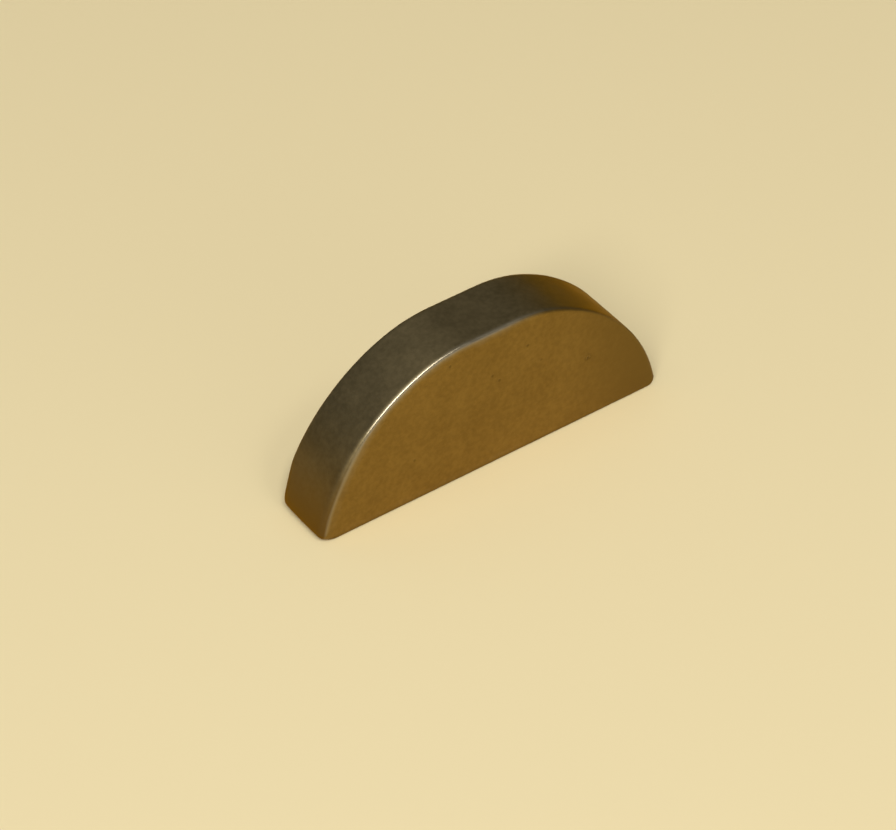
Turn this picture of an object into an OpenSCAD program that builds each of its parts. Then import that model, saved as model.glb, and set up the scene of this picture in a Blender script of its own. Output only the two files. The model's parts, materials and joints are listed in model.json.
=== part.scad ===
// Woodruff key, flat-crest pattern: a segment of a steel disc, standing on its flat face.
// Millimetres. X runs along the flat face, Y across the key, Z up from the flat face.
// The origin is the middle of the flat face.

/* [Blank] */
// Diameter of the disc that the key is a segment of
disc_diameter = 19.05; // [17:0.05:25]
// Thickness of the key between its two working sides
key_width = 3.175; // [2:0.005:6]
// Distance from the centre of the disc to the flat face
centre_offset = 1.5875; // [0.5:0.0125:3]
// How much the flat on the crest takes off the full round of the disc
crest_cut = 0.25; // [0.05:0.005:0.6]

/* [Tumbled edges] */
// Radius along the rim, the crest and the flat face
edge_radius = 0.18; // [0.05:0.01:0.4]
// How much shorter each tip is than the sharp point where the rim meets the flat face
tip_cut = 0.09; // [0.03:0.01:0.4]
// Radius under each tip, where its end turns into the flat face
tip_radius = 0.4; // [0.1:0.01:1]
// Radius of the upright corners at the tips
corner_radius = 0.45; // [0.1:0.01:0.9]

/* [Hidden] */
$fn = 96;
steel_brown = [0.44, 0.33, 0.15];
cut_margin = 1;
disc_radius = disc_diameter / 2;
key_height = disc_radius - centre_offset - crest_cut;
key_length = 2 * (sqrt(pow(disc_radius, 2) - pow(centre_offset, 2)) - tip_cut);

// Rectangle from the point (0, 0) to (size_x, size_y) with its four corners rounded
module rounded_rectangle(size_x, size_y, radius) {
    translate([radius, 0]) square([size_x - 2 * radius, size_y]);
    translate([0, radius]) square([size_x, size_y - 2 * radius]);
    for (x = [radius, size_x - radius], y = [radius, size_y - radius])
        translate([x, y]) circle(radius);
}

// Disc on the Y axis, its centre below the flat face, with both rim edges rounded
module rounded_disc() {
    translate([0, 0, -centre_offset])
        rotate([90, 0, 0])
            rotate_extrude()
                intersection() {
                    translate([-disc_radius, -key_width / 2])
                        rounded_rectangle(disc_diameter, key_width, edge_radius);
                    translate([0, -key_width]) square([disc_diameter, 2 * key_width]);
                }
}

// Bar along X whose section gives the flat face, the crest flat and their edges
module rounded_bar() {
    rotate([90, 0, 90])
        linear_extrude(disc_diameter, center = true)
            translate([-key_width / 2, 0])
                rounded_rectangle(key_width, key_height, edge_radius);
}

// Plate along Y whose outline ends the tips and turns them into the flat face
module rounded_plate() {
    rotate([90, 0, 0])
        linear_extrude(key_width + 2 * cut_margin, center = true)
            translate([-key_length / 2, 0])
                rounded_rectangle(key_length, disc_diameter, tip_radius);
}

// Column along Z whose plan rounds the upright corners at the tips
module rounded_column() {
    translate([0, 0, -cut_margin])
        linear_extrude(key_height + 2 * cut_margin)
            translate([-key_length / 2, -key_width / 2])
                rounded_rectangle(key_length, key_width, corner_radius);
}

module woodruff_key() {
    color(steel_brown)
        intersection() {
            rounded_disc();
            rounded_bar();
            rounded_plate();
            rounded_column();
        }
}

woodruff_key();
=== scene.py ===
import json
import math
import bpy
from mathutils import Matrix, Vector


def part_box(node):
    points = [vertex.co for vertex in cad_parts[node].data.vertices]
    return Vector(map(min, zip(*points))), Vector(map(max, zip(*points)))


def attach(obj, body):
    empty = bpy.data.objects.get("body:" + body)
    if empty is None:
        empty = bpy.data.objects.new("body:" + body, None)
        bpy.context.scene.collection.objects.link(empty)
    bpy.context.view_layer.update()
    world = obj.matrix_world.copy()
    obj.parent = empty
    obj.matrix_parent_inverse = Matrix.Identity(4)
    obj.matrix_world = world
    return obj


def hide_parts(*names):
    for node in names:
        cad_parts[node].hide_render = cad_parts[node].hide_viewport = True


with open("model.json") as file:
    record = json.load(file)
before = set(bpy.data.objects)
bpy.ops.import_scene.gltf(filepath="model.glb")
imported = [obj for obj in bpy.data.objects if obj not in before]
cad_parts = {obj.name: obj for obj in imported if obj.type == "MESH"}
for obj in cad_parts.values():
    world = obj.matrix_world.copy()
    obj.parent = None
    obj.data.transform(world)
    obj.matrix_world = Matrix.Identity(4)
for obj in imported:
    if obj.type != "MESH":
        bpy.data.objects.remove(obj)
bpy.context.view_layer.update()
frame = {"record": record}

scene = bpy.context.scene
scene.view_settings.view_transform = "Standard"

# The key
# One piece of hardened steel: a slice of round bar with its sides ground flat, its lower part cut off for
# the flat face, and a small flat on its crest. Tumbling has rolled off its edges and rounded its tips.
MM = 0.001
key_low, key_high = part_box("woodruff_key")
key_width = key_high.y - key_low.y
key_height = key_high.z - key_low.z
half_length = (key_high.x - key_low.x) / 2
rim_seat = next(mount for mount in frame["record"]["mounts"] if mount["name"] == "rim_seat")
disc_radius = rim_seat["dims"]["r_mm"] * MM
centre_offset = 1.5875 * MM
crest_radius = 6.3 * MM
# The edges have a small radius at the foot, and elsewhere roll off over the rim and down the side. Tumbling
# takes off up to the wear depth.
edge_radius = 0.1 * MM
rim_roll = 0.2 * MM
side_roll = 0.4 * MM
wear_depth = 0.02 * MM
# The tip at -X is worn rounder. It is shorter in front and at its low back corner.
worn_tip = 0.4 * MM
tip_lean = 0.09 * MM
tip_round = 0.24 * MM
# The round of a tip touches the rim, the flat face and the end of the key.
tip_slack = disc_radius + centre_offset - half_length
tip_room = disc_radius ** 2 - centre_offset ** 2 - half_length ** 2
tip_radius = math.sqrt(tip_slack ** 2 + tip_room) - tip_slack

# Shape of the key
# The outline of half the key, from the middle of the flat face round the tip to the middle of the crest,
# is swept by a section that runs from the heart of the front side over the rim to the heart of the back.
blank = bpy.data.node_groups.new("key_blank", "GeometryNodeTree")
blank_sizes = {
    "Disc Radius": disc_radius,
    "Centre Offset": centre_offset,
    "Key Width": key_width,
    "Key Height": key_height,
    "Edge Radius": edge_radius,
    "Rim Roll": rim_roll,
    "Side Roll": side_roll,
    "Tip Radius": tip_radius,
    "Crest Radius": crest_radius,
    "Worn Tip": worn_tip,
    "Tip Lean": tip_lean,
    "Tip Round": tip_round,
    "Wear Depth": wear_depth,
}
for size_name in blank_sizes:
    blank.interface.new_socket(size_name, in_out="INPUT", socket_type="NodeSocketFloat")
for finish_name in ("Side Finish", "Rim Finish"):
    blank.interface.new_socket(finish_name, in_out="INPUT", socket_type="NodeSocketMaterial")
blank.interface.new_socket("Key", in_out="OUTPUT", socket_type="NodeSocketGeometry")
given = blank.nodes.new("NodeGroupInput").outputs


def add(tree, kind, inputs, **settings):
    """Adds a node, sets its options, feeds it sockets or plain values, and gives its first live output."""
    node = tree.nodes.new(kind)
    for name, value in settings.items():
        setattr(node, name, value)
    live = [socket for socket in node.inputs if socket.enabled]
    for name, value in inputs.items():
        socket = live[name] if isinstance(name, int) else next(s for s in live if s.name == name)
        if isinstance(value, bpy.types.NodeSocket):
            tree.links.new(value, socket)
        else:
            socket.default_value = value
    return next(socket for socket in node.outputs if socket.enabled)


def calc(tree, operation, *terms):
    """A Math node."""
    return add(tree, "ShaderNodeMath", dict(enumerate(terms)), operation=operation)


def product(tree, first, *others):
    """Numbers multiplied together, from left to right."""
    for other in others:
        first = calc(tree, "MULTIPLY", first, other)
    return first


def mixed(tree, amount, first, second):
    """A number between two others."""
    return add(tree, "ShaderNodeMix", {"Factor": amount, "A": first, "B": second}, data_type="FLOAT")


def ramp(tree, value, low, high):
    """A smooth step from 0 at low to 1 at high."""
    return add(tree, "ShaderNodeMapRange", {"Value": value, "From Min": low, "From Max": high},
               interpolation_type="SMOOTHSTEP")


def vector(tree, operation, *terms):
    """A Vector Math node."""
    return add(tree, "ShaderNodeVectorMath", dict(enumerate(terms)), operation=operation)


def combine(tree, x, y, z):
    """A Combine XYZ node."""
    return add(tree, "ShaderNodeCombineXYZ", {"X": x, "Y": y, "Z": z})


def separate(tree, value):
    """The three outputs of a Separate XYZ node."""
    return add(tree, "ShaderNodeSeparateXYZ", {"Vector": value}).node.outputs


def store(geometry, name, value, kind):
    """Keeps a value on the points of a geometry under a name."""
    return add(blank, "GeometryNodeStoreNamedAttribute",
               {"Geometry": geometry, "Name": name, "Value": value}, data_type=kind, domain="POINT")


def stored(name, kind):
    """A value that was kept under a name."""
    return add(blank, "GeometryNodeInputNamedAttribute", {"Name": name}, data_type=kind)


place = add(blank, "GeometryNodeInputPosition", {})


def line(start, end, outward, count):
    """A straight stretch of a curve, with its points evenly spaced and their outward direction stored."""
    curve = add(blank, "GeometryNodeCurvePrimitiveLine", {"Start": start, "End": end})
    curve = add(blank, "GeometryNodeResampleCurve", {"Curve": curve, "Count": count})
    return store(curve, "outward", outward, "FLOAT_VECTOR")


def arc(centre_x, centre_y, radius, start, end, count):
    """A round stretch of a curve from one angle to another, with its points' outward direction stored."""
    sweep = calc(blank, "SUBTRACT", end, start)
    curve = add(blank, "GeometryNodeCurveArc", {
        "Resolution": count, "Radius": radius, "Start Angle": start, "Sweep Angle": sweep})
    curve = store(curve, "outward", vector(blank, "NORMALIZE", place), "FLOAT_VECTOR")
    centre = combine(blank, centre_x, centre_y, 0.0)
    return add(blank, "GeometryNodeTransform", {"Geometry": curve, "Translation": centre})


def chain(stretches):
    """Geometries joined in their order. The last link into a join comes first."""
    join = blank.nodes.new("GeometryNodeJoinGeometry")
    for stretch in reversed(stretches):
        blank.links.new(stretch, join.inputs[0])
    return join.outputs[0]


def fillet(radius, centre_height):
    """Where a fillet that touches the rim from inside has its centre, and the angle at which it touches."""
    rise = calc(blank, "ADD", centre_height, given["Centre Offset"])
    reach = calc(blank, "SUBTRACT", given["Disc Radius"], radius)
    level_squared = calc(blank, "SUBTRACT", product(blank, reach, reach), product(blank, rise, rise))
    centre_x = calc(blank, "SQRT", level_squared)
    return centre_x, calc(blank, "ARCTAN2", rise, centre_x)


# The outline is drawn in X and Y, with Y as the height.
right_angle = math.radians(90)
foot_points = 72
tip_points = 18
rim_points = 110
crest_corner_points = 10
crest_points = 20
disc_centre_height = calc(blank, "MULTIPLY", given["Centre Offset"], -1.0)
tip_x, rim_start = fillet(given["Tip Radius"], given["Tip Radius"])
crest_corner_height = calc(blank, "SUBTRACT", given["Key Height"], given["Crest Radius"])
crest_x, rim_end = fillet(given["Crest Radius"], crest_corner_height)
crest_start = combine(blank, crest_x, given["Key Height"], 0.0)
crest_middle = combine(blank, 0.0, given["Key Height"], 0.0)
outline = chain([
    line((0.0, 0.0, 0.0), combine(blank, tip_x, 0.0, 0.0), (0.0, -1.0, 0.0), foot_points),
    arc(tip_x, given["Tip Radius"], given["Tip Radius"], -right_angle, rim_start, tip_points),
    arc(0.0, disc_centre_height, given["Disc Radius"], rim_start, rim_end, rim_points),
    arc(crest_x, crest_corner_height, given["Crest Radius"], rim_end, right_angle, crest_corner_points),
    line(crest_start, crest_middle, (0.0, 1.0, 0.0), crest_points),
])

# In the section X is the inset from the outline, Y the place across the key, and Z the share of the way to
# the heart.
side_points = 24
edge_points = 11
across_points = 27
half_width = calc(blank, "MULTIPLY", given["Key Width"], 0.5)
front = calc(blank, "MULTIPLY", half_width, -1.0)
edge_inset = calc(blank, "MULTIPLY", given["Edge Radius"], -1.0)
rim_back = calc(blank, "SUBTRACT", half_width, given["Edge Radius"])
rim_front = calc(blank, "MULTIPLY", rim_back, -1.0)
front_heart = combine(blank, edge_inset, front, 1.0)
front_brink = combine(blank, edge_inset, front, 0.0)
back_brink = combine(blank, edge_inset, half_width, 0.0)
back_heart = combine(blank, edge_inset, half_width, 1.0)
rim_front_point = combine(blank, 0.0, rim_front, 0.0)
rim_back_point = combine(blank, 0.0, rim_back, 0.0)
section = chain([
    line(front_heart, front_brink, (0.0, -1.0, 0.0), side_points),
    arc(edge_inset, rim_front, given["Edge Radius"], -right_angle, 0.0, edge_points),
    line(rim_front_point, rim_back_point, (1.0, 0.0, 0.0), across_points),
    arc(edge_inset, rim_back, given["Edge Radius"], 0.0, right_angle, edge_points),
    line(back_brink, back_heart, (0.0, 1.0, 0.0), side_points),
])


def point_count(curve):
    """How many points a curve has."""
    size = blank.nodes.new("GeometryNodeAttributeDomainSize")
    size.component = "CURVE"
    blank.links.new(curve, size.inputs["Geometry"])
    return size.outputs["Point Count"]


def grid_step(from_middle, count):
    """The number of the grid line that lies that far from the middle, from -0.5 to 0.5."""
    last = calc(blank, "SUBTRACT", count, 1.0)
    step = calc(blank, "MULTIPLY", calc(blank, "ADD", from_middle, 0.5), last)
    return add(blank, "FunctionNodeFloatToInt", {0: step}, rounding_mode="ROUND")


def sample(curve, value, index):
    """A value on the point of a curve that has that index."""
    return add(blank, "GeometryNodeSampleIndex", {"Geometry": curve, "Value": value, "Index": index},
               data_type="FLOAT_VECTOR", domain="POINT")


# A grid has a column for each point of the outline and a row for each point of the section.
columns = point_count(outline)
rows = point_count(section)
grid = add(blank, "GeometryNodeMeshGrid", {
    "Size X": 1.0, "Size Y": 1.0, "Vertices X": columns, "Vertices Y": rows})
grid_place = separate(blank, place)
column = grid_step(grid_place["X"], columns)
row = grid_step(grid_place["Y"], rows)
outward = sample(outline, stored("outward", "FLOAT_VECTOR"), column)
outline_place = sample(outline, place, column)
outline_axes = separate(blank, outline_place)
outline_x = outline_axes["X"]
outline_height = outline_axes["Y"]
inset, across, inward_share = separate(blank, sample(section, place, row))
behind_side = calc(blank, "SUBTRACT", half_width, calc(blank, "ABSOLUTE", across))
on_front = calc(blank, "LESS_THAN", across, 0.0)
front_share = calc(blank, "DIVIDE", calc(blank, "SUBTRACT", half_width, across), given["Key Width"])

# Rings on the sides crowd towards the edge, where they roll off.
ring_crowding = 2.2
heart_share = 0.42
inward = calc(blank, "POWER", inward_share, ring_crowding)
kept_share = calc(blank, "SUBTRACT", 1.0, inward)
heart = combine(blank, 0.0, calc(blank, "MULTIPLY", given["Key Height"], heart_share), 0.0)


def share_left(depth, reach):
    """1 at the start of a reach, falling to 0 at its end."""
    used = calc(blank, "DIVIDE", depth, reach)
    return calc(blank, "MAXIMUM", calc(blank, "SUBTRACT", 1.0, used), 0.0)


def rolled_half(shortening, rim_reach, side_reach, finish_line):
    """Half the key, its tip made shorter, and its edges rolled off over the rim and down the side."""
    full_brink = vector(blank, "ADD", outline_place, vector(blank, "SCALE", outward, inset))
    brink = vector(blank, "SUBTRACT", full_brink, combine(blank, shortening, 0.0, 0.0))
    to_brink = vector(blank, "SUBTRACT", brink, heart)
    sharp_place = vector(blank, "ADD", heart, vector(blank, "SCALE", to_brink, kept_share))
    down_side = calc(blank, "MULTIPLY", inward, vector(blank, "DOT_PRODUCT", outward, to_brink))
    under_rim = calc(blank, "SUBTRACT", down_side, inset)
    rim_share = share_left(behind_side, rim_reach)
    side_share = share_left(under_rim, side_reach)
    rim_squared = product(blank, rim_share, rim_share)
    side_squared = product(blank, side_share, side_share)
    distance = calc(blank, "SQRT", calc(blank, "ADD", rim_squared, side_squared))
    spread = calc(blank, "MAXIMUM", distance, 1.0)
    pull = calc(blank, "SUBTRACT", 1.0, calc(blank, "DIVIDE", 1.0, spread))
    sunk = product(blank, side_share, side_reach, pull)
    narrowed = product(blank, rim_share, rim_reach, pull, calc(blank, "SIGN", across))
    rolled = separate(blank, vector(blank, "SUBTRACT", sharp_place, vector(blank, "SCALE", outward, sunk)))
    past_edge = calc(blank, "SUBTRACT", calc(blank, "SUBTRACT", under_rim, behind_side), finish_line)
    return add(blank, "GeometryNodeSetPosition", {
        "Geometry": store(grid, "past_edge", past_edge, "FLOAT"),
        "Position": combine(blank, rolled["X"], calc(blank, "SUBTRACT", across, narrowed), rolled["Y"])})


# The edges roll off where the outline turns up from the foot, in front more than at the back. In front they
# get sharper towards +X, and at the back towards -X.
foot_facing = -0.95
back_share = 0.75
sharp_share = 0.3
back_tip_share = 0.15
sharp_from = 1.0 * MM
sharp_fully = 6.0 * MM
off_foot = ramp(blank, separate(blank, outward)["Y"], foot_facing, 0.0)
to_tip = ramp(blank, outline_x, sharp_from, sharp_fully)
right_share = mixed(blank, on_front, back_share, mixed(blank, to_tip, 1.0, sharp_share))
left_share = mixed(blank, on_front, mixed(blank, to_tip, back_share, back_tip_share), 1.0)


def rolls(share):
    """How far an edge with that share of the roll-off reaches over the rim and down the side."""
    amount = calc(blank, "MULTIPLY", off_foot, share)
    over_rim = mixed(blank, amount, given["Edge Radius"], given["Rim Roll"])
    down_side = mixed(blank, amount, given["Edge Radius"], given["Side Roll"])
    return over_rim, down_side


# The half towards +X. The two finishes meet on the edge line.
edge_line = -0.09 * MM
right_over_rim, right_down_side = rolls(right_share)
right_half = rolled_half(0.0, right_over_rim, right_down_side, edge_line)

# The half towards -X, with its worn tip. Wear starts further from the end in front than at the back and at
# the foot, and the finishes meet further down the side there.
worn_edge_line = 0.2 * MM
lean_from = 5.5 * MM
lean_fully = 9.0 * MM
round_height = 1.1 * MM
corner_sharpness = 2.0
worn_from = 6.0 * MM
worn_fully = 8.6 * MM
end_worn_from = 8.5 * MM
end_worn_fully = 9.2 * MM
lean = calc(blank, "MULTIPLY", given["Tip Lean"], front_share)
low_down = calc(blank, "POWER", share_left(outline_height, round_height), corner_sharpness)
at_back = calc(blank, "POWER", calc(blank, "SUBTRACT", 1.0, front_share), corner_sharpness)
low_round = product(blank, low_down, at_back, given["Tip Round"])
near_tip = ramp(blank, outline_x, lean_from, lean_fully)
shortening = calc(blank, "MULTIPLY", calc(blank, "ADD", lean, low_round), near_tip)
front_off_foot = calc(blank, "MULTIPLY", off_foot, on_front)
end_wear = ramp(blank, outline_x, end_worn_from, end_worn_fully)
front_wear = ramp(blank, outline_x, worn_from, worn_fully)
tip_wear = mixed(blank, front_off_foot, end_wear, front_wear)
worn_off_foot = calc(blank, "MULTIPLY", tip_wear, off_foot)
left_over_rim, left_down_side = rolls(left_share)
left_half = rolled_half(
    shortening,
    mixed(blank, tip_wear, left_over_rim, given["Worn Tip"]),
    mixed(blank, tip_wear, left_down_side, given["Worn Tip"]),
    mixed(blank, worn_off_foot, edge_line, worn_edge_line))

# The mirrored half faces outwards already, and the other one is turned to match.
weld_distance = 0.0005 * MM
left_half = add(blank, "GeometryNodeTransform", {"Geometry": left_half, "Scale": (-1.0, 1.0, 1.0)})
right_half = add(blank, "GeometryNodeFlipFaces", {"Mesh": right_half})
whole = add(blank, "GeometryNodeMergeByDistance", {
    "Geometry": chain([right_half, left_half]), "Distance": weld_distance})

# Tumbling takes a little off unevenly, most of it near the edges.
wear_patch = 1.3 * MM
wear_fade = 0.25 * MM
dents = add(blank, "ShaderNodeTexNoise", {"Scale": 1 / wear_patch, "Detail": 3.0, "Roughness": 0.55})
past_edge = stored("past_edge", "FLOAT")
to_edge = calc(blank, "ABSOLUTE", past_edge)
nearness = calc(blank, "DIVIDE", wear_fade, calc(blank, "ADD", to_edge, wear_fade))
loss = product(blank, dents, nearness, given["Wear Depth"], -1.0)
facing = add(blank, "GeometryNodeInputNormal", {})
whole = add(blank, "GeometryNodeSetPosition", {
    "Geometry": whole, "Offset": vector(blank, "SCALE", facing, loss)})
whole = add(blank, "GeometryNodeSetShadeSmooth", {"Geometry": whole, "Shade Smooth": True})
whole = add(blank, "GeometryNodeRealizeInstances", {"Geometry": whole})
whole = add(blank, "GeometryNodeSetMaterial", {"Geometry": whole, "Material": given["Side Finish"]})
rim_faces = calc(blank, "LESS_THAN", past_edge, 0.0)
whole = add(blank, "GeometryNodeSetMaterial", {
    "Geometry": whole, "Selection": rim_faces, "Material": given["Rim Finish"]})
blank.links.new(whole, blank.nodes.new("NodeGroupOutput").inputs["Key"])

# Finish of the key
# Bare hardened steel with a film of oil: brown on the ground sides, partly its own tone and partly a
# painted reflection of the straw floor, darker and greyer on the drawn rim, with a painted reflection of
# the floor that runs in from the foot and the +X end. It is rubbed bright along the front edge, with a
# painted highlight and glow there too, and has the grain of grinding, faint stains and mottling, tiny pits
# and one small ding.


def new_group(name, inputs, output):
    """An empty shader group with one number output, the sockets of its inputs and that of its output."""
    group = bpy.data.node_groups.new(name, "ShaderNodeTree")
    for input_name, kind in inputs.items():
        group.interface.new_socket(input_name, in_out="INPUT", socket_type="NodeSocket" + kind)
    group.interface.new_socket(output, in_out="OUTPUT", socket_type="NodeSocketFloat")
    taken = group.nodes.new("NodeGroupInput").outputs
    return group, taken, group.nodes.new("NodeGroupOutput").inputs[output]


def object_place(tree):
    """Object coordinates."""
    return tree.nodes.new("ShaderNodeTexCoord").outputs["Object"]


# Cloudy stains of the oil film.
clear_level = 0.3
stained_level = 0.7
stain, stain_in, stain_out = new_group("oil_stain", {"Patches per Metre": "Float"}, "Stain")
cloud = add(stain, "ShaderNodeTexNoise", {
    "Vector": object_place(stain), "Scale": stain_in["Patches per Metre"],
    "Detail": 6.0, "Roughness": 0.62})
stain.links.new(ramp(stain, cloud, clear_level, stained_level), stain_out)

# Fine parallel scratches, long in the direction that has the fewest lines.
grain, grain_in, grain_out = new_group("tool_grain", {"Lines per Metre": "Vector"}, "Grain")
stretched = vector(grain, "MULTIPLY", object_place(grain), grain_in["Lines per Metre"])
scratch = add(grain, "ShaderNodeTexNoise", {
    "Vector": stretched, "Scale": 1.0, "Detail": 4.0, "Roughness": 0.7})
grain.links.new(scratch, grain_out)

# Sparse tiny pits, as a mask that is 1 at the bottom of a pit. The limits are shares of a cell.
pit_brink = 0.3
pit_bottom = 0.08
pit, pit_in, pit_out = new_group("fine_pit", {"Pits per Metre": "Float", "Pit Share": "Float"}, "Pit")
cell = add(pit, "ShaderNodeTexVoronoi", {
    "Vector": object_place(pit), "Scale": pit_in["Pits per Metre"]}).node.outputs
hollow = ramp(pit, cell["Distance"], pit_brink, pit_bottom)
chosen = calc(pit, "LESS_THAN", separate(pit, cell["Color"])["X"], pit_in["Pit Share"])
pit.links.new(calc(pit, "MULTIPLY", hollow, chosen), pit_out)

# Fine mottling of the surface.
dark_level = 0.25
light_level = 0.75
mottle, mottle_in, mottle_out = new_group("fine_mottle", {"Spots per Metre": "Float"}, "Mottle")
spots = add(mottle, "ShaderNodeTexNoise", {
    "Vector": object_place(mottle), "Scale": mottle_in["Spots per Metre"],
    "Detail": 3.0, "Roughness": 0.6})
mottle.links.new(ramp(mottle, spots, dark_level, light_level), mottle_out)

# Wear along the edges, broken up a little: sharp on the rim, with a soft tail down the side that fades
# towards both tips. The tail is a painted glow beside the bright line that the key lamp draws. It is
# brightest on the front edge, fades towards +X and stops just above the foot: this lighter front edge is
# partly rubbed steel and partly a painted highlight.
ragged_spots_per_metre = 1600.0
least_ragged = 0.5
tail_strength = 0.55
tail_from = -10.0 * MM
tail_fully = -5.0 * MM
tail_kept = 0.0
tail_gone = 3.5 * MM
bright_front = -1.0 * MM
bright_kept = 0.5 * MM
bright_gone = 4.0 * MM
bright_from_height = 0.15 * MM
bright_height = 0.6 * MM
least_wear = 0.05
wear_and_glow, wear_and_glow_in, wear_and_glow_out = new_group("edge_wear_and_glow", {"Rim Width": "Float", "Side Width": "Float"}, "Wear")
ragged = add(wear_and_glow, "ShaderNodeTexNoise", {
    "Vector": object_place(wear_and_glow), "Scale": ragged_spots_per_metre, "Detail": 4.0})
raggedness = calc(wear_and_glow, "ADD", ragged, least_ragged)
edge_attribute = wear_and_glow.nodes.new("ShaderNodeAttribute")
edge_attribute.attribute_name = "past_edge"
past_line = edge_attribute.outputs["Fac"]
wear_x, wear_y, wear_z = separate(wear_and_glow, object_place(wear_and_glow))
over_rim_wear = ramp(wear_and_glow, past_line, product(wear_and_glow, wear_and_glow_in["Rim Width"], -1.0, raggedness), 0.0)
brink_wear = ramp(wear_and_glow, past_line, product(wear_and_glow, wear_and_glow_in["Rim Width"], raggedness), 0.0)
# The tail is a painted glow down the side, beside the lit edge line.
glow_tail = product(
    wear_and_glow, ramp(wear_and_glow, past_line, product(wear_and_glow, wear_and_glow_in["Side Width"], raggedness), 0.0),
    ramp(wear_and_glow, wear_x, tail_from, tail_fully), ramp(wear_and_glow, wear_x, tail_gone, tail_kept))
brink_part = calc(wear_and_glow, "MULTIPLY", brink_wear, 1.0 - tail_strength)
tail_part = calc(wear_and_glow, "MULTIPLY", glow_tail, tail_strength)
side_wear_and_glow = calc(wear_and_glow, "ADD", brink_part, tail_part)
# Where the edge is painted lighter: the front edge towards -X, partly rubbed steel and partly painted
# highlight.
bright_line_share = product(
    wear_and_glow, ramp(wear_and_glow, wear_y, 0.0, bright_front), ramp(wear_and_glow, wear_x, bright_gone, bright_kept),
    ramp(wear_and_glow, wear_z, bright_from_height, bright_height))
bright_line_share = calc(wear_and_glow, "ADD", calc(wear_and_glow, "MULTIPLY", bright_line_share, 1.0 - least_wear), least_wear)
wear_and_glow.links.new(product(wear_and_glow, over_rim_wear, side_wear_and_glow, bright_line_share), wear_and_glow_out)

# A small ding on the front side.
ding_place = (5.34 * MM, key_low.y, 3.61 * MM)
crumples_per_metre = 9000.0
smooth_level = 0.4
crumpled_level = 0.6
ding, ding_in, ding_out = new_group("small_ding", {"Ding Size": "Float"}, "Ding")
from_ding = vector(ding, "DISTANCE", object_place(ding), ding_place)
crumple = add(ding, "ShaderNodeTexNoise", {
    "Vector": object_place(ding), "Scale": crumples_per_metre, "Detail": 2.0})
crumpled = ramp(ding, crumple, smooth_level, crumpled_level)
ding_reach = ramp(ding, from_ding, ding_in["Ding Size"], 0.0)
ding.links.new(calc(ding, "MULTIPLY", ding_reach, crumpled), ding_out)

# A painted reflection colour, which runs in from the flat face and from the tip at +X. On the rim it paints
# the brown reflection of the straw floor; on the sides it darkens the foot and the end towards +X.
reflection_run_inputs = {"Foot Height": "Float", "Tip Start": "Float", "Tip End": "Float"}
reflection_run, reflection_run_in, reflection_run_out = new_group("painted_reflection_run", reflection_run_inputs, "Painted Reflection")
reflection_run_place = separate(reflection_run, object_place(reflection_run))
from_foot = ramp(reflection_run, reflection_run_place["Z"], reflection_run_in["Foot Height"], 0.0)
from_tip = ramp(reflection_run, reflection_run_place["X"], reflection_run_in["Tip Start"], reflection_run_in["Tip End"])
reflection_run.links.new(calc(reflection_run, "MAXIMUM", from_foot, from_tip), reflection_run_out)


def place_group(tree, group, inputs):
    """A shader group placed in a material, with its own values."""
    node = tree.nodes.new("ShaderNodeGroup")
    node.node_tree = group
    for name, value in inputs.items():
        node.inputs[name].default_value = value
    return node.outputs[0]


def blend(tree, amount, first, second):
    """A mix of two colours."""
    return add(tree, "ShaderNodeMix", {"Factor": amount, "A": first, "B": second}, data_type="RGBA")


# What both finishes share: the colour of worn steel, which also paints the glow and highlight along the
# front edge, and how strongly each effect shows. The depths of pits and of the ding are in heights of the
# grain.
worn_and_glow_colour = (0.34, 0.285, 0.19)
stain_weight = 0.45
mottle_weight = 0.55
grain_tint = 0.3
pit_tint = 0.4
ding_tint = 0.7
hollow_shade = 0.4
pit_dullness = 0.15
burnished_roughness = 0.29
pit_depth = 2.0
ding_depth = 4.0
grain_height = 0.006 * MM
grain_strength = 0.5


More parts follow.
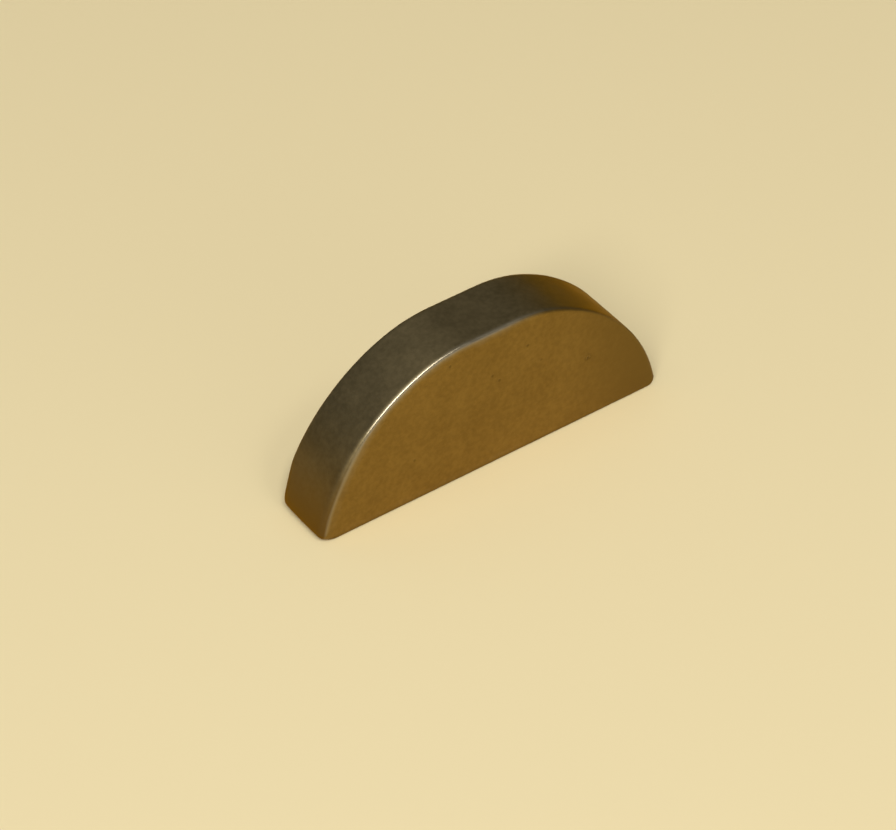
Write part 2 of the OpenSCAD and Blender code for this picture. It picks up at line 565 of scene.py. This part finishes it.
def key_steel(name, dark, light, reflection_run_colour, glancing, reflection_run_sizes, grain_lines, smooth, rough):
    """One finish of the key: its colours, the run of the painted reflection colour, the grain and two
    roughnesses.
    """
    material = bpy.data.materials.new(name)
    material.use_nodes = True
    tree = material.node_tree
    shader = tree.nodes["Principled BSDF"]
    stain_mask = place_group(tree, stain, {"Patches per Metre": 420.0})
    grain_mask = place_group(tree, grain, {"Lines per Metre": grain_lines})
    pit_mask = place_group(tree, pit, {"Pits per Metre": 2600.0, "Pit Share": 0.015})
    mottle_mask = place_group(tree, mottle, {"Spots per Metre": 4200.0})
    ding_mask = place_group(tree, ding, {"Ding Size": 0.3 * MM})
    wear_and_glow_mask = place_group(tree, wear_and_glow, {"Rim Width": 0.18 * MM, "Side Width": 0.55 * MM})
    reflection_run_mask = place_group(tree, reflection_run, reflection_run_sizes)
    stain_part = calc(tree, "MULTIPLY", stain_mask, stain_weight)
    mottle_part = calc(tree, "MULTIPLY", mottle_mask, mottle_weight)
    patchiness = calc(tree, "ADD", stain_part, mottle_part)
    body = blend(tree, patchiness, (*dark, 1.0), (*light, 1.0))
    # Painted reflection: the run colour paints the floor's reflection on the rim, and darkens the foot and
    # the +X end on the sides.
    with_reflection = blend(tree, reflection_run_mask, body, (*reflection_run_colour, 1.0))
    grained = blend(tree, calc(tree, "MULTIPLY", grain_mask, grain_tint), with_reflection, (*dark, 1.0))
    # The worn colour paints the rubbed edge, with its painted glow and highlight.
    edged = blend(tree, wear_and_glow_mask, grained, (*worn_and_glow_colour, 1.0))
    pit_part = calc(tree, "MULTIPLY", pit_mask, pit_tint)
    ding_part = calc(tree, "MULTIPLY", ding_mask, ding_tint)
    marred = calc(tree, "MAXIMUM", pit_part, ding_part)
    pitted = blend(tree, marred, edged, (*(hollow_shade * part for part in dark), 1.0))
    tree.links.new(pitted, shader.inputs["Base Color"])
    gloss = add(tree, "ShaderNodeMapRange", {"Value": stain_mask, "To Min": smooth, "To Max": rough})
    gloss = calc(tree, "ADD", gloss, calc(tree, "MULTIPLY", pit_mask, pit_dullness))
    burnished = mixed(tree, wear_and_glow_mask, gloss, burnished_roughness)
    tree.links.new(burnished, shader.inputs["Roughness"])
    shader.inputs["Metallic"].default_value = 1.0
    shader.inputs["Specular Tint"].default_value = (*glancing, 1.0)
    height = calc(tree, "SUBTRACT", grain_mask, calc(tree, "MULTIPLY", pit_mask, pit_depth))
    height = calc(tree, "SUBTRACT", height, calc(tree, "MULTIPLY", ding_mask, ding_depth))
    bump = add(tree, "ShaderNodeBump", {
        "Height": height, "Strength": grain_strength, "Distance": grain_height})
    tree.links.new(bump, shader.inputs["Normal"])
    return material


# The brown of the sides is partly the steel's own tone and partly a painted reflection of the straw floor.
side_finish = key_steel(
    "ground_side_steel",
    dark=(0.205, 0.122, 0.026), light=(0.305, 0.188, 0.044), reflection_run_colour=(0.172, 0.104, 0.022),
    glancing=(1.0, 0.93, 0.82),
    reflection_run_sizes={"Foot Height": 0.3 * MM, "Tip Start": 3.0 * MM, "Tip End": 9.5 * MM},
    grain_lines=(500.0, 3000.0, 8000.0), smooth=0.34, rough=0.44)
# The rim's run colour is a painted reflection of the straw floor, and its golden glancing tint stands in
# for the floor's gold in its low-angle reflections.
rim_finish = key_steel(
    "drawn_rim_steel",
    dark=(0.16, 0.125, 0.06), light=(0.27, 0.21, 0.105), reflection_run_colour=(0.16, 0.086, 0.017),
    glancing=(0.95, 0.67, 0.29),
    reflection_run_sizes={"Foot Height": 5.5 * MM, "Tip Start": 1.5 * MM, "Tip End": 7.0 * MM},
    grain_lines=(7000.0, 600.0, 7000.0), smooth=0.4, rough=0.5)

# The finished key
# The blank is worked out once with its two finishes and kept as a plain mesh, which stands where the solid
# does. The key is loose: nothing fixes it to anything.
rough_key = bpy.data.objects.new("rough_key", bpy.data.meshes.new("rough_key"))
scene.collection.objects.link(rough_key)
sweep_blank = rough_key.modifiers.new("key_blank", "NODES")
sweep_blank.node_group = blank
blank_inputs = dict(blank_sizes, **{"Side Finish": side_finish, "Rim Finish": rim_finish})
for socket in blank.interface.items_tree:
    if socket.name in blank_inputs:
        sweep_blank[socket.identifier] = blank_inputs[socket.name]
depsgraph = bpy.context.evaluated_depsgraph_get()
key_mesh = bpy.data.meshes.new_from_object(rough_key.evaluated_get(depsgraph))
bpy.data.objects.remove(rough_key)
key = bpy.data.objects.new("key_steel_body", key_mesh)
scene.collection.objects.link(key)
# The first material slot came in empty.
key_mesh.materials.pop(index=0)
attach(key, "root")
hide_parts("woodruff_key")

# Floor
# A plain sheet of pale straw-coloured paper, just under the flat face of the key. It reaches well past the
# edges of the picture.
floor_half = 0.8
floor_drop = 0.01 * MM
pale_straw = (0.85, 0.71, 0.41)
floor_corners = [(-floor_half, -floor_half), (floor_half, -floor_half), (floor_half, floor_half),
                 (-floor_half, floor_half)]
floor_mesh = bpy.data.meshes.new("floor")
floor_mesh.from_pydata([(x, y, -floor_drop) for x, y in floor_corners], [], [(0, 1, 2, 3)])
floor = bpy.data.objects.new("floor", floor_mesh)
scene.collection.objects.link(floor)
paper = bpy.data.materials.new("pale_paper")
paper.use_nodes = True
paper_shader = paper.node_tree.nodes["Principled BSDF"]
paper_shader.inputs["Base Color"].default_value = (*pale_straw, 1.0)
paper_shader.inputs["Roughness"].default_value = 0.9
paper_shader.inputs["Specular IOR Level"].default_value = 0.1
floor_mesh.materials.append(paper)

# Light
# A long tilted lamp on the viewer's side draws the bright line on the front edge. Four weaker lamps light
# the crest, the front side, the rim towards -X and the back, and a dim grey room fills in the rest.


def direction(azimuth, elevation):
    """The direction from the key to what stands at that azimuth and elevation, in degrees."""
    turned = math.radians(azimuth)
    raised = math.radians(elevation)
    level = math.cos(raised)
    return Vector((math.sin(turned) * level, -math.cos(turned) * level, math.sin(raised)))


def lamp(name, azimuth, elevation, distance, width, height, tilt, power):
    """A soft lamp that looks at the middle of the key from that side, its long way tilted from level."""
    light = bpy.data.lights.new(name, "AREA")
    light.shape = "RECTANGLE"
    light.size = width
    light.size_y = height
    light.energy = power
    holder = bpy.data.objects.new(name, light)
    to_lamp = direction(azimuth, elevation)
    holder.location = Vector((0.0, 0.0, key_height / 2)) + to_lamp * distance
    tilted = Matrix.Rotation(math.radians(tilt), 3, "Z")
    holder.rotation_euler = (to_lamp.to_track_quat("Z", "Y").to_matrix() @ tilted).to_euler()
    scene.collection.objects.link(holder)


lamp("key_lamp", azimuth=-39.0, elevation=48.0, distance=0.45,
     width=0.4, height=0.045, tilt=49.0, power=1.72)
lamp("crest_lamp", azimuth=14.0, elevation=54.0, distance=0.5,
     width=0.16, height=0.07, tilt=0.0, power=0.22)
lamp("front_lamp", azimuth=2.0, elevation=10.0, distance=0.3,
     width=0.32, height=0.14, tilt=0.0, power=0.12)
lamp("side_lamp", azimuth=-90.0, elevation=65.0, distance=0.5,
     width=0.25, height=0.25, tilt=0.0, power=0.24)
lamp("back_lamp", azimuth=178.0, elevation=56.0, distance=0.5,
     width=0.2, height=0.2, tilt=0.0, power=0.04)
room_grey = 0.19
room = bpy.data.worlds.new("room")
room.use_nodes = True
room.node_tree.nodes["Background"].inputs["Color"].default_value = (room_grey, room_grey, room_grey, 1.0)
scene.world = room

# Camera
# The viewing angle, distance and framing of the photograph. The target is a point on the key's middle line
# that lies on a known pixel, and the camera is moved sideways to bring it there.
photo_width = 896
photo_height = 830
view_azimuth = -36.2
view_elevation = 41.49
view_roll = math.radians(0.27)
view_distance = 0.1878
focal_pixels = 4226
sensor_width = 36.0
target = Vector((0.0, 0.0, 3.757 * MM))
target_pixel_x = 470.9
target_pixel_y = 381.3
to_viewer = direction(view_azimuth, view_elevation)
view_turn = math.radians(view_azimuth)
level_right = Vector((math.cos(view_turn), math.sin(view_turn), 0.0))
level_up = to_viewer.cross(level_right)
view_right = level_right * math.cos(view_roll) + level_up * math.sin(view_roll)
view_up = level_up * math.cos(view_roll) - level_right * math.sin(view_roll)
metres_per_pixel = view_distance / focal_pixels
shift_right = (target_pixel_x - photo_width / 2) * metres_per_pixel
shift_down = (target_pixel_y - photo_height / 2) * metres_per_pixel
camera_data = bpy.data.cameras.new("camera")
camera_data.sensor_width = sensor_width
camera_data.lens = focal_pixels * sensor_width / photo_width
camera_data.clip_start = 0.01
camera = bpy.data.objects.new("camera", camera_data)
camera_turn = Matrix((view_right, view_up, to_viewer)).transposed()
camera_place = target + to_viewer * view_distance - view_right * shift_right + view_up * shift_down
camera.matrix_world = Matrix.Translation(camera_place) @ camera_turn.to_4x4()
scene.collection.objects.link(camera)
scene.camera = camera
